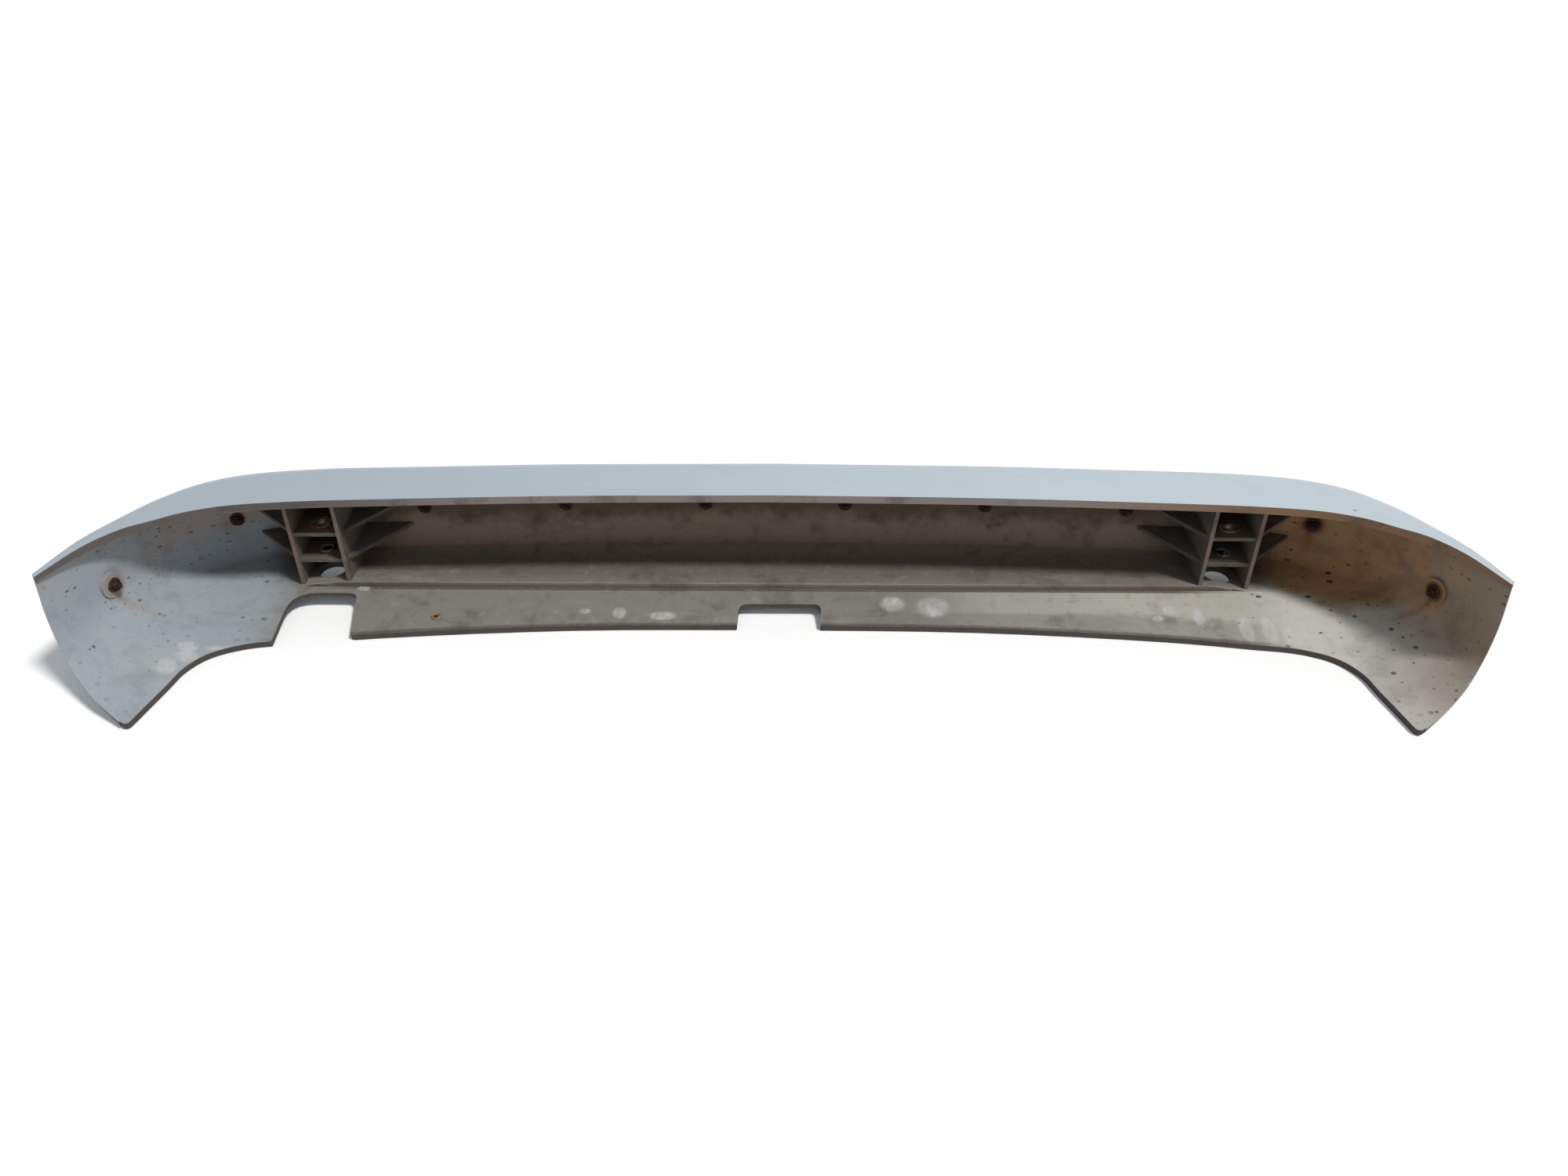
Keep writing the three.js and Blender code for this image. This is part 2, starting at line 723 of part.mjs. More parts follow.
function addRubStrips() {
  const joint = stationWhere((face) => face.x, halfWidth - stripJointInset);
  const sideStart = stationWhere((face) => face.x, halfWidth - stripJointInset + stripJointGap);
  const end = stationWhere((face) => -face.y, depth - wingEndRise - stripEndInset - faceY);
  addPiece('rub_strip_center', rubStrip(-joint, joint), stripRubber);
  addPiece('rub_strip_left', rubStrip(-end, -sideStart), stripRubber);
  addPiece('rub_strip_right', rubStrip(sideStart, end), stripRubber);
}

function addStripFasteners() {
  studStations().forEach((station, i) => {
    const number = String(i + 1).padStart(2, '0');
    const seat = isWing(station) ? wall + bossHeight : wall;
    const matrix = studMatrix(station);
    addPiece(`strip_stud_${number}`, stripStud(seat), rustySteel, matrix);
    addPiece(`strip_washer_${number}`, stripWasher(seat), rustySteel, matrix);
    addPiece(`strip_nut_${number}`, stripNut(seat), rustySteel, matrix);
  });
}

addPiece('bumper_cover', bumperCover(), coverPlastic);
addMountBlocks();
addRubStrips();
addStripFasteners();
addPiece('lip_eyelet', lipEyelet(), eyeletBrass, eyeletMatrix());

export default bumper;
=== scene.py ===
import math

import bmesh
import bpy
from mathutils import Matrix, Vector, noise
from mathutils.bvhtree import BVHTree


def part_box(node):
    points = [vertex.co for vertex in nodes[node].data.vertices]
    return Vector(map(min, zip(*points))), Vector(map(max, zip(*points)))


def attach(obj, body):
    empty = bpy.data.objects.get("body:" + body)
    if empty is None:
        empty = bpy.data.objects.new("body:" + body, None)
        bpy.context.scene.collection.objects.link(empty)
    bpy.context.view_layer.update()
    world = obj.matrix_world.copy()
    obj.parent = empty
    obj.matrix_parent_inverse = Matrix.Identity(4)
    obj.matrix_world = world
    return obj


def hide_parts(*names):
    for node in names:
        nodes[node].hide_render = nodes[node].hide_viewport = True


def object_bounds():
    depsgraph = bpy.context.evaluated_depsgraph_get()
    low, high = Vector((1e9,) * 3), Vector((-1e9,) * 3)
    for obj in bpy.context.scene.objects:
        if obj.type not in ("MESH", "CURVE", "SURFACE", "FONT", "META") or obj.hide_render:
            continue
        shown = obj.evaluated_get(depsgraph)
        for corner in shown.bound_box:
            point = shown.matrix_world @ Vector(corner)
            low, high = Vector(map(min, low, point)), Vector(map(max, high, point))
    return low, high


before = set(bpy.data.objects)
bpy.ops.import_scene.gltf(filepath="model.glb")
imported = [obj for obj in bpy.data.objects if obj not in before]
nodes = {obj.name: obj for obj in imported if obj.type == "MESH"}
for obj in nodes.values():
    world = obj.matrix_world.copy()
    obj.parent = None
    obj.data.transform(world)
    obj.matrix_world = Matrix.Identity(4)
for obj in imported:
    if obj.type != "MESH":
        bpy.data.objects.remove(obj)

cadLow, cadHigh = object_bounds()
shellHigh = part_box("bumper_cover")[1]
mm = 0.001

shell = {
    "wall": 6 * mm,
    "rimHeight": 10 * mm,       # thickened edge of the top flange
    "endHeight": 8.5 * mm,      # upright end of the lower lip
    "endOfLip": 700 * mm,       # where the lip has become the curl of the wing
    "edgeRound": 1.1 * mm,
    "floorTop": 31 * mm,        # level of the inner floor
    "stepBack": 119 * mm,       # floor's front step, back from the outer face
    "coreBack": 115 * mm,       # a line inside the channel that the inner skin faces
    "coreHeight": 80 * mm,
    "coreHalfWidth": 640 * mm,
    "bossReach": 24 * mm,       # from a wing fastener to the foot of its boss
    "bossSkinLimit": 1.3,       # in wall thicknesses: what is deeper by a boss is the boss itself
    "sheetLimit": 2.2,          # in wall thicknesses: what is deeper is an edge seen end on
}


class Val:
    # wraps one node output, so that plain expressions add Math nodes
    def __init__(self, graph, socket):
        self.graph = graph
        self.socket = socket

    def math(self, operation, *others, clamp=False):
        links = {i: item for i, item in enumerate([self, *others])}
        settings = {"operation": operation, "use_clamp": clamp}
        return self.graph.value("ShaderNodeMath", settings, links)

    def flipped(self, operation, other):
        return self.graph.value("ShaderNodeMath", {"operation": operation}, {0: other, 1: self})

    def __add__(self, other):
        return self.math("ADD", other)

    def __radd__(self, other):
        return self.flipped("ADD", other)

    def __sub__(self, other):
        return self.math("SUBTRACT", other)

    def __rsub__(self, other):
        return self.flipped("SUBTRACT", other)

    def __mul__(self, other):
        return self.math("MULTIPLY", other)

    def __rmul__(self, other):
        return self.flipped("MULTIPLY", other)

    def __neg__(self):
        return self.flipped("MULTIPLY", -1.0)

    def atLeast(self, other):
        return self.math("MAXIMUM", other)

    def size(self):
        return self.math("ABSOLUTE")

    def held(self):
        # kept between 0 and 1
        return self.math("ADD", 0.0, clamp=True)

    def fade(self, start, end, low=0.0, high=1.0):
        return self.graph.value(
            "ShaderNodeMapRange",
            {"interpolation_type": "SMOOTHSTEP"},
            {"Value": self, "From Min": start, "From Max": end, "To Min": low, "To Max": high},
        )


class Graph:
    # one material's nodes, with its principled shader ready to take links
    def __init__(self, name):
        self.material = bpy.data.materials.new(name)
        self.material.use_nodes = True
        self.tree = self.material.node_tree
        self.shader = self.tree.nodes["Principled BSDF"]
        self.place = self.node("ShaderNodeTexCoord").outputs["Object"]
        parts = self.node("ShaderNodeSeparateXYZ", {}, {"Vector": self.place})
        self.x, self.y, self.z = (Val(self, parts.outputs[i]) for i in range(3))
        self.facing = self.node("ShaderNodeNewGeometry")
        turned = self.node("ShaderNodeSeparateXYZ", {}, {"Vector": self.facing.outputs["Normal"]})
        self.nx, self.ny, self.nz = (Val(self, turned.outputs[i]) for i in range(3))

    def node(self, kind, settings=None, sockets=None):
        made = self.tree.nodes.new(kind)
        for key, item in (settings or {}).items():
            setattr(made, key, item)
        for key, item in (sockets or {}).items():
            self.feed(made.inputs[key], item)
        return made

    def feed(self, entry, item):
        if isinstance(item, Val):
            item = item.socket
        if isinstance(item, bpy.types.NodeSocket):
            self.tree.links.new(item, entry)
        elif isinstance(item, (tuple, list)) and len(item) == 3 and entry.type == "RGBA":
            entry.default_value = (*item, 1.0)
        else:
            entry.default_value = item

    def value(self, kind, settings=None, sockets=None, out=0):
        return Val(self, self.node(kind, settings, sockets).outputs[out])

    def mixed(self, share, first, second, blend="MIX"):
        made = self.node(
            "ShaderNodeMix",
            {"data_type": "RGBA", "blend_type": blend},
            {0: share, 6: first, 7: second},
        )
        return made.outputs[2]

    def stretched(self, scale, turn=(0, 0, 0)):
        sockets = {"Vector": self.place, "Scale": scale, "Rotation": turn}
        return self.node("ShaderNodeMapping", {}, sockets).outputs[0]

    def cloud(self, scale, detail=4.0, rough=0.55, place=None):
        sockets = {
            "Vector": place or self.place,
            "Scale": scale,
            "Detail": detail,
            "Roughness": rough,
        }
        return self.value("ShaderNodeTexNoise", {"noise_dimensions": "3D"}, sockets)

    def attribute(self, name):
        return self.value("ShaderNodeAttribute", {"attribute_name": name}, out=2)

    def edges(self, radius):
        # how far a rounded normal turns away from the real one: near 0 on flats, higher along edges
        rounded = self.node("ShaderNodeBevel", {"samples": 4}, {"Radius": radius})
        links = {0: rounded.outputs[0], 1: self.facing.outputs["Normal"]}
        return 1 - self.value("ShaderNodeVectorMath", {"operation": "DOT_PRODUCT"}, links, out=1)

    def bump(self, height, strength, distance):
        sockets = {"Height": height, "Strength": strength, "Distance": distance}
        return self.node("ShaderNodeBump", {}, sockets).outputs[0]

    def finish(self, color, roughness, normal=None, metallic=0.0):
        self.feed(self.shader.inputs["Base Color"], color)
        self.feed(self.shader.inputs["Roughness"], roughness)
        self.feed(self.shader.inputs["Metallic"], metallic)
        if normal is not None:
            self.feed(self.shader.inputs["Normal"], normal)
        return self.material


def shade(red, green, blue):
    # a colour given as it looks on screen, 0 to 255, as linear values
    def linear(level):
        level /= 255
        return level / 12.92 if level <= 0.04045 else ((level + 0.055) / 1.055) ** 2.4

    return tuple(linear(level) for level in (red, green, blue))


skinTones = {
    "paintLeft": (0.322, 0.368, 0.412),
    "paintRight": (0.450, 0.506, 0.550),
    "paintWorn": (0.300, 0.335, 0.365),
    "paintHighlight": (0.520, 0.570, 0.610),
    "wallHigh": (0.070, 0.036, 0.019),
    "wallMiddle": (0.098, 0.062, 0.038),
    "wallLow": (0.250, 0.188, 0.145),
    "floor": (0.120, 0.102, 0.087),
    "floorPale": (0.150, 0.135, 0.121),
    "lipLeft": (0.166, 0.156, 0.139),
    "lipRight": (0.350, 0.340, 0.295),
    "step": (0.062, 0.048, 0.038),
    "wingLeft": (0.262, 0.290, 0.313),
    "wingLeftShade": (0.300, 0.262, 0.236),
    "wingRight": (0.460, 0.446, 0.415),
    "wingRightFar": (0.270, 0.238, 0.202),
    "wingBrown": (0.330, 0.178, 0.074),
    "wingBrownDark": (0.200, 0.108, 0.046),
    "wingBrownEnd": (0.215, 0.160, 0.112),
    "under": (0.075, 0.056, 0.043),
    "rim": (0.185, 0.162, 0.153),
    "rimLeft": (0.084, 0.073, 0.068),
    "rimRight": (0.180, 0.104, 0.054),
    "lipEnd": (0.048, 0.041, 0.035),
    "darkBrown": (0.038, 0.030, 0.024),
    "greyDirt": (0.120, 0.115, 0.108),
    "rust": (0.215, 0.088, 0.020),
    "rustDark": (0.050, 0.022, 0.010),
    "scuff": (0.500, 0.505, 0.500),
    "speck": (0.026, 0.022, 0.019),
    "edgeWear": (0.330, 0.320, 0.300),
}

# pale scuffs on the lip and the wings: middle, then reach along X, Y and Z, in metres
scuffMarks = [
    ((-0.528, 0.054, 0.026), (0.012, 0.005, 0.03)),
    ((-0.720, -0.095, 0.014), (0.014, 0.020, 0.03)),
    ((-0.706, -0.072, 0.011), (0.018, 0.014, 0.03)),
    ((-0.711, -0.056, 0.013), (0.016, 0.013, 0.03)),
    ((-0.672, -0.053, 0.008), (0.026, 0.007, 0.03)),
    ((-0.240, 0.020, 0.015), (0.010, 0.006, 0.03)),
    ((-0.196, 0.018, 0.014), (0.012, 0.012, 0.03)),
    ((-0.141, 0.014, 0.012), (0.024, 0.009, 0.03)),
    ((0.150, 0.034, 0.018), (0.022, 0.016, 0.03)),
    ((0.201, 0.029, 0.017), (0.028, 0.022, 0.03)),
    ((0.483, 0.010, 0.014), (0.010, 0.007, 0.03)),
    ((0.500, 0.022, 0.016), (0.012, 0.012, 0.03)),
    ((0.535, 0.012, 0.016), (0.010, 0.022, 0.03)),
    ((0.589, -0.009, 0.013), (0.012, 0.030, 0.03)),
    ((0.617, -0.012, 0.013), (0.013, 0.032, 0.03)),
    ((0.642, -0.022, 0.011), (0.016, 0.024, 0.03)),
]


def spot(graph, middle, reach, core=0.25):
    # 1 in the middle of an ellipsoid, fading to 0 at its skin
    kind = "ShaderNodeVectorMath"
    away = graph.node(kind, {"operation": "SUBTRACT"}, {0: graph.place, 1: middle})
    scaled = graph.node(kind, {"operation": "DIVIDE"}, {0: away.outputs[0], 1: reach})
    length = graph.value(kind, {"operation": "LENGTH"}, {0: scaled.outputs[0]}, out=1)
    return length.fade(1.0, core)


def flecks(graph, scale, stretch, turn, size, share):
    # scattered marks: the middles of some stretched cells
    sockets = {"Vector": graph.stretched(stretch, turn), "Scale": scale}
    made = graph.node("ShaderNodeTexVoronoi", {"feature": "F1"}, sockets)
    parts = graph.node("ShaderNodeSeparateColor", {}, {0: made.outputs["Color"]})
    chosen = Val(graph, parts.outputs[0]).fade(1 - share, 1 - share + 0.02)
    grown = Val(graph, parts.outputs[1]) * 0.8 + 0.25
    return (grown * size - Val(graph, made.outputs["Distance"])).fade(-0.02, 0.04) * chosen


def boxMiddle(node):
    low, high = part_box(node)
    return (low + high) / 2


rustMarks = {
    "runs": [("strip_nut_10", 1.0), ("strip_nut_09", 1.0), ("strip_nut_01", 0.55), ("strip_nut_02", 0.3)],
    "wingStart": 0.76,          # fasteners farther out than this sit on the wings
    "wingLength": 0.052,
    "cornerLength": 0.040,
    "wingSlope": 0.2,           # how far a wing's run drifts toward the face as it falls
    "blobs": 7,
    "ringReach": 0.022,
    "ringAmount": 0.85,
}


def rustRun(graph, middle, wing, amount):
    # one streak: a line of blobs down from a fastener, smaller and fainter as they fall
    length = rustMarks["wingLength" if wing else "cornerLength"]
    fall = Vector((0, rustMarks["wingSlope"] if wing else 0.0, -1)) * length
    acrossSkin = 0.06 if wing else 0.012       # deep enough to meet the curl of the wing
    streak = None
    for i in range(rustMarks["blobs"]):
        share = (i + 0.5) / rustMarks["blobs"]
        size = 0.013 - 0.005 * share
        reach = (acrossSkin, size if wing else 0.05, size * 1.3)
        blob = spot(graph, tuple(middle + fall * share), reach, 0.1)
        blob = blob * (amount * (0.95 - 0.55 * share))
        streak = blob if streak is None else streak.atLeast(blob)
    return streak


def rustRuns(graph):
    # rust round the corner and wing fasteners, and where it has run down the skin below them
    total = None
    ringReach = (rustMarks["ringReach"],) * 3
    for node, amount in rustMarks["runs"]:
        middle = boxMiddle(node)
        wing = abs(middle.x) > rustMarks["wingStart"]
        ring = spot(graph, middle, ringReach, 0.5) * (rustMarks["ringAmount"] * amount)
        marks = ring.atLeast(rustRun(graph, middle, wing, amount))
        total = marks if total is None else total.atLeast(marks)
    return total


# where one tone of the skin passes into the next, in metres from the middle and the ground
skinZones = {
    "wallFoot": (0.105, 0.15),          # along Y, where the floor turns up into the face
    "wallMiddle": (0.125, 0.085),       # heights at which the wall pales downward
    "wallLow": (0.083, 0.052),
    "besideStep": (0.03, 0.004),        # back from the step, the strip of floor painted paler as lit
    "lipPale": (0.12, 0.46),            # along X, the lip is paler on the right
    "lipLowBand": (0.0155, 0.0135),
    "lipEnd": (0.0094, 0.0084),
    "brownHeight": (0.036, 0.064),      # brown dirt above the right wing's curl
    "brownNearFace": (0.365, 0.405),
    "brownEnd": (0.765, 0.81),
    "rightWingEnd": (0.70, 0.78),
    "leftShade": (0.058, 0.098),
    "leftShadeTop": (0.122, 0.138),
    "wingStart": (0.585, 0.665),
    "corner": 0.63,                     # where the floor meets the foot of a wing
    "rimSide": (0.3, 0.62),
    "lowCut": (0.035, 0.02),            # below this a trimmed edge gets the lip end's painted shade
}


def coverFinish():
    g = Graph("painted and moulded shell")
    c = skinTones
    zones = skinZones
    paint = g.attribute("paint")
    cut = g.attribute("cut")
    edge = g.edges(0.0022)
    faceY = shellHigh.y
    stepY = faceY - shell["stepBack"]
    farOut = g.x.size()

    broad = g.cloud(6.0, 4.0, 0.6)
    patch = g.cloud(24.0, 6.0, 0.62)
    mottle = g.cloud(85.0, 5.0, 0.65)
    grain = g.cloud(520.0, 3.0, 0.6)
    level = g.cloud(18.0, 5.0, 0.62, g.stretched((0.22, 1.0, 1.3)))

    # inner skin between the blocks: brown wall with painted shade high under the flange, grey floor with a
    # painted lit strip at the step, then the lip
    uneven = (patch - 0.5) * 0.05
    # the wall's tone is partly brown dirt, partly painted shade: darkest high under the flange, paler low
    # down where painted light reaches
    wallTone = g.mixed((g.z + uneven).fade(*zones["wallMiddle"]), c["wallHigh"], c["wallMiddle"])
    wallTone = g.mixed((g.z + uneven).fade(*zones["wallLow"]), wallTone, c["wallLow"])
    # a paler strip of floor back from the step: painted light where the floor is lit past the flange's
    # shadow
    besideStep = (g.y - stepY + (patch - 0.5) * 0.012).fade(*zones["besideStep"])
    floorTone = g.mixed(besideStep, c["floor"], c["floorPale"])
    wallMask = (g.y + (patch - 0.5) * 0.02).fade(*zones["wallFoot"])
    inner = g.mixed(wallMask, floorTone, wallTone)
    pale = (g.x + (broad - 0.5) * 0.3).fade(*zones["lipPale"])
    lipTone = g.mixed(pale, c["lipLeft"], c["lipRight"])
    lipMask = g.y.fade(stepY + 0.0008, stepY - 0.0012)
    inner = g.mixed(lipMask, inner, lipTone)
    lowBand = (g.z - (level - 0.5) * 0.004).fade(*zones["lipLowBand"])
    inner = g.mixed(lowBand * g.x.fade(0.05, 0.14) * lipMask * 0.45, inner, c["greyDirt"])
    nearStep = g.y - stepY - (mottle - 0.5) * 0.0012
    paleLine = nearStep.fade(0.0002, 0.001) * nearStep.fade(0.0042, 0.0022)
    inner = g.mixed(paleLine * level.fade(0.35, 0.55) * (1 - wallMask) * 0.35, inner, c["edgeWear"])
    # the step's upright face is darkened: painted shade
    stepMask = nearStep.fade(0.0012, 0.0002) * nearStep.fade(-0.0048, -0.0034)
    inner = g.mixed(stepMask * farOut.fade(0.62, 0.5) * 0.9, inner, c["step"])
    # a dark band along the lip's upright end: painted shade
    endBand = (g.z + (mottle - 0.5) * 0.0012).fade(*zones["lipEnd"])
    inner = g.mixed(endBand * farOut.fade(0.72, 0.6) * 0.75, inner, c["lipEnd"])

    # wings: cool pale grey on the left with a painted shade tone high up and under the rim, warm on the
    # right with brown dirt above the curl
    drift = (patch - 0.5) * 0.03 + (broad - 0.5) * 0.03
    brownNearFace = (g.y + g.x * 0.5 + drift * 1.4).fade(*zones["brownNearFace"])
    brown = (g.z + drift).fade(*zones["brownHeight"]).atLeast(brownNearFace)
    brownTone = g.mixed(level.fade(0.4, 0.62), c["wingBrown"], c["wingBrownDark"])
    brownEnd = (g.x + (patch - 0.5) * 0.06).fade(*zones["brownEnd"])
    brownTone = g.mixed(brownEnd, brownTone, c["wingBrownEnd"])
    rightEnd = (g.x + (broad - 0.5) * 0.1).fade(*zones["rightWingEnd"])
    rightTone = g.mixed(rightEnd, c["wingRight"], c["wingRightFar"])
    rightTone = g.mixed(brown * 0.93, rightTone, brownTone)
    # high on the left wing and under its rim a warmer tone stands in for the flange's shadow: painted shade
    leftShade = (g.z + (patch - 0.5) * 0.03).fade(*zones["leftShade"]) * farOut.fade(0.805, 0.745)
    underRim = (g.z + (patch - 0.5) * 0.02).fade(*zones["leftShadeTop"])
    leftShade = leftShade.atLeast(underRim * 0.35)
    leftTone = g.mixed(leftShade * 0.95, c["wingLeft"], c["wingLeftShade"])
    wingTone = g.mixed(g.x.fade(-0.1, 0.1), leftTone, rightTone)
    wingMask = (farOut + (broad - 0.5) * 0.05).fade(*zones["wingStart"])
    inner = g.mixed(wingMask, inner, wingTone)
    # faces that turn down are darkened: painted shade
    inner = g.mixed((-g.nz).fade(0.6, 0.95), inner, c["under"])

    # dirt in soft blotches, in level wipes and in fine mottle, lighter on the wall where it is already dark
    brownWing = brown * wingMask * g.x.fade(0.0, 0.1) * 0.8
    bare = 1 - (wallMask * (1 - wingMask)).atLeast(brownWing)
    inner = g.mixed(patch.fade(0.5, 0.72) * (0.48 - wingMask * 0.26), inner, c["darkBrown"])
    inner = g.mixed(level.fade(0.55, 0.75) * bare * 0.3, inner, c["greyDirt"])
    inner = g.mixed(level.fade(0.45, 0.3) * bare * 0.2, inner, c["lipRight"])
    inner = g.mixed(mottle.fade(0.55, 0.75) * (0.32 - wingMask * 0.12), inner, c["darkBrown"])
    inner = g.mixed(mottle.fade(0.45, 0.28) * bare * 0.22, inner, c["edgeWear"])
    # the low corner where the floor meets each wing is darkened: painted shade
    nearCorner = (farOut - zones["corner"]).size().fade(0.05, 0.0)
    cornerShade = nearCorner * g.y.fade(0.05, 0.11) * g.z.fade(0.075, 0.03)
    inner = g.mixed((cornerShade * (0.4 + patch * 0.6)).held(), inner, c["darkBrown"])

    # pale scuffs, rubbed through in places
    scuffs = None
    for middle, reach in scuffMarks:
        mark = spot(g, middle, reach)
        scuffs = mark if scuffs is None else scuffs.atLeast(mark)
    rubbed = g.cloud(70.0, 7.0, 0.78, g.stretched((1.5, 0.6, 0.6))).fade(0.42, 0.68)
    inner = g.mixed(scuffs.fade(0.0, 0.75) * (0.26 + rubbed * 0.42), inner, c["scuff"])

    # dark dashes, thickest on the wings and beside the right block
    crowd = wingMask * 0.7 + spot(g, (0.66, 0.02, 0.03), (0.13, 0.11, 0.09), 0.3) + 0.12
    some = g.cloud(22.0, 3.0).fade(0.42, 0.58) * 0.7 + 0.3
    dashes = flecks(g, 185.0, (0.27, 0.42, 1.0), (0.12, 0.1, 0.22), 0.26, 0.72)
    rounds = flecks(g, 120.0, (0.6, 0.8, 1.0), (0.4, 0.3, 0.1), 0.2, 0.3)
    large = flecks(g, 40.0, (0.7, 1.0, 1.0), (0.1, 0.4, 0.1), 0.095, 0.35)
    dots = (dashes * some * crowd).held().atLeast((rounds * some * (crowd - 0.2)).held())
    dots = dots.atLeast(large * (crowd * 0.8 + 0.2).held())
    inner = g.mixed((dots * 0.9).held(), inner, c["speck"])

    rust = rustRuns(g)
    inner = g.mixed((rust * (0.55 + patch * 0.7)).held() * 0.9, inner, c["rust"])
    inner = g.mixed(rust.fade(0.55, 0.95) * 0.85, inner, c["rustDark"])

    # outer paint: a little darker to the left, dusty, with fine chips and a painted highlight along the far
    # edge
    painted = g.mixed((g.x + (broad - 0.5) * 0.25).fade(-0.75, 0.55), c["paintLeft"], c["paintRight"])
    farEdgeHighlight = g.nz.fade(0.9995, 0.985) * g.nz.fade(0.8, 0.95)
    painted = g.mixed(farEdgeHighlight * 0.4, painted, c["paintHighlight"])
    painted = g.mixed(patch.fade(0.5, 0.75) * 0.15, painted, c["paintWorn"])
    painted = g.mixed(g.z.fade(0.09, 0.01) * (0.25 + patch * 0.4), painted, c["greyDirt"])
    chips = flecks(g, 21.0, (0.7, 1.0, 1.0), (0.3, 0.2, 0.1), 0.05, 0.3)
    painted = g.mixed(chips * 0.8, painted, c["speck"])

    # trimmed edges
    # the rim is painted darker on the left as shade, and turns brown toward the right
    rimTone = g.mixed((-g.x).fade(*zones["rimSide"]), c["rim"], c["rimLeft"])
    rimTone = g.mixed(g.x.fade(*zones["rimSide"]), rimTone, c["rimRight"])
    # low down the trimmed edges take the lip end's dark tone: painted shade
    cutTone = g.mixed(g.z.fade(*zones["lowCut"]), rimTone, c["lipEnd"])
    cutTone = g.mixed(patch.fade(0.5, 0.7) * 0.45, cutTone, c["darkBrown"])

    color = g.mixed(paint, inner, painted)
    color = g.mixed(cut, color, cutTone)
    worn = edge.fade(0.02, 0.16) * mottle.fade(0.42, 0.6) * (1 - paint * 0.6)
    color = g.mixed(worn * 0.3, color, c["edgeWear"])

    rough = 0.66 + patch * 0.2 - paint * 0.26 + rust * 0.1 + mottle * 0.06
    fine = grain * 0.25 * (1 - paint * 0.85) + mottle * 0.35 * (1 - paint * 0.7)
    height = fine + patch * 0.5 + dots * 0.6
    return g.finish(color, rough.held(), g.bump(height, 0.4, 0.0007))


blockTones = {
    "side": (0.094, 0.078, 0.064),
    "outerFront": (0.138, 0.100, 0.078),
    "innerFront": (0.118, 0.096, 0.083),
    "shelfFront": (0.072, 0.061, 0.048),
    "shelfTop": (0.086, 0.068, 0.054),
    "gussetTop": (0.130, 0.122, 0.110),
    "brownDirtAndShade": (0.120, 0.064, 0.032),
    "darkBrown": (0.032, 0.026, 0.022),
    "pale": (0.170, 0.155, 0.135),
    "rust": (0.150, 0.062, 0.022),
    "edgeWear": (0.250, 0.222, 0.196),
}


def blockFinish():
    g = Graph("bare ribbed moulding")
    c = blockTones
    patch = g.cloud(38.0, 6.0, 0.62)
    mottle = g.cloud(120.0, 5.0, 0.65)
    grain = g.cloud(480.0, 3.0)
    blockX = boxMiddle("lower_bush_right").x
    across = g.x.size() - blockX
    front = (-g.ny).fade(0.5, 0.95)
    web = across.size().fade(0.026, 0.028)
    frontTone = g.mixed(across.fade(-0.01, 0.01), c["innerFront"], c["outerFront"])
    frontTone = g.mixed(web, c["shelfFront"], frontTone)
    topTone = g.mixed(across.size().fade(0.031, 0.034), c["shelfTop"], c["gussetTop"])
    color = g.mixed(g.nz.fade(0.5, 0.9) * 0.85, c["side"], topTone)
    color = g.mixed(front, color, frontTone)
    # the outer side of each block is browner and darker: partly dirt, partly painted shade cast by the
    # block
    outerSide = (across - 0.034).fade(0.0, 0.012)
    color = g.mixed(outerSide * patch.fade(0.4, 0.6) * 0.6, color, c["brownDirtAndShade"])
    color = g.mixed(patch.fade(0.5, 0.72) * 0.5, color, c["darkBrown"])
    color = g.mixed(mottle.fade(0.55, 0.72) * 0.35, color, c["pale"])
    rust = None
    for side in ("left", "right"):
        ring = spot(g, tuple(boxMiddle(f"upper_bush_{side}")), (0.030, 0.030, 0.02), 0.5)
        ring = ring * (0.95 if side == "left" else 0.45)
        rust = ring if rust is None else rust.atLeast(ring)
    color = g.mixed((rust * (0.3 + patch)).held(), color, c["rust"])
    worn = g.edges(0.0018).fade(0.02, 0.2) * mottle.fade(0.4, 0.6)
    color = g.mixed(worn * 0.4, color, c["edgeWear"])
    rough = 0.62 + patch * 0.25
    return g.finish(color, rough.held(), g.bump(grain * 0.3 + patch + mottle * 0.5, 0.45, 0.0009))


def rustFinish():
    g = Graph("flaking rust")
    lumps = g.cloud(420.0, 6.0, 0.65)
    patch = g.cloud(120.0, 4.0)
    color = g.mixed(lumps.fade(0.38, 0.68), shade(34, 22, 17), shade(78, 46, 30))
    color = g.mixed(patch.fade(0.56, 0.76) * 0.45, color, shade(126, 72, 38))
    rough = 0.75 + lumps * 0.2
    return g.finish(color, rough.held(), g.bump(lumps, 0.7, 0.0008), metallic=0.25)


def bushFinish():
    g = Graph("dull bush steel")
    patch = g.cloud(160.0, 5.0, 0.6)
    color = g.mixed(patch.fade(0.4, 0.65), shade(150, 140, 128), shade(96, 66, 44))
    rough = 0.45 + patch * 0.4
    return g.finish(color, rough.held(), g.bump(patch, 0.4, 0.0006), metallic=0.55)


def rubberFinish():
    g = Graph("weathered strip rubber")
    patch = g.cloud(30.0, 6.0, 0.6)
    grain = g.cloud(900.0, 3.0, 0.7)
    color = g.mixed(patch.fade(0.35, 0.7), shade(36, 37, 38), shade(62, 62, 61))
    scrape = g.cloud(60.0, 3.0, 0.5, g.stretched((0.12, 1.0, 1.6))).fade(0.62, 0.7)
    color = g.mixed(scrape * 0.35, color, shade(96, 96, 94))
    rough = 0.62 + patch * 0.22 + scrape * 0.1
    return g.finish(color, rough.held(), g.bump(grain * 0.5 + patch * 0.4, 0.4, 0.0006))


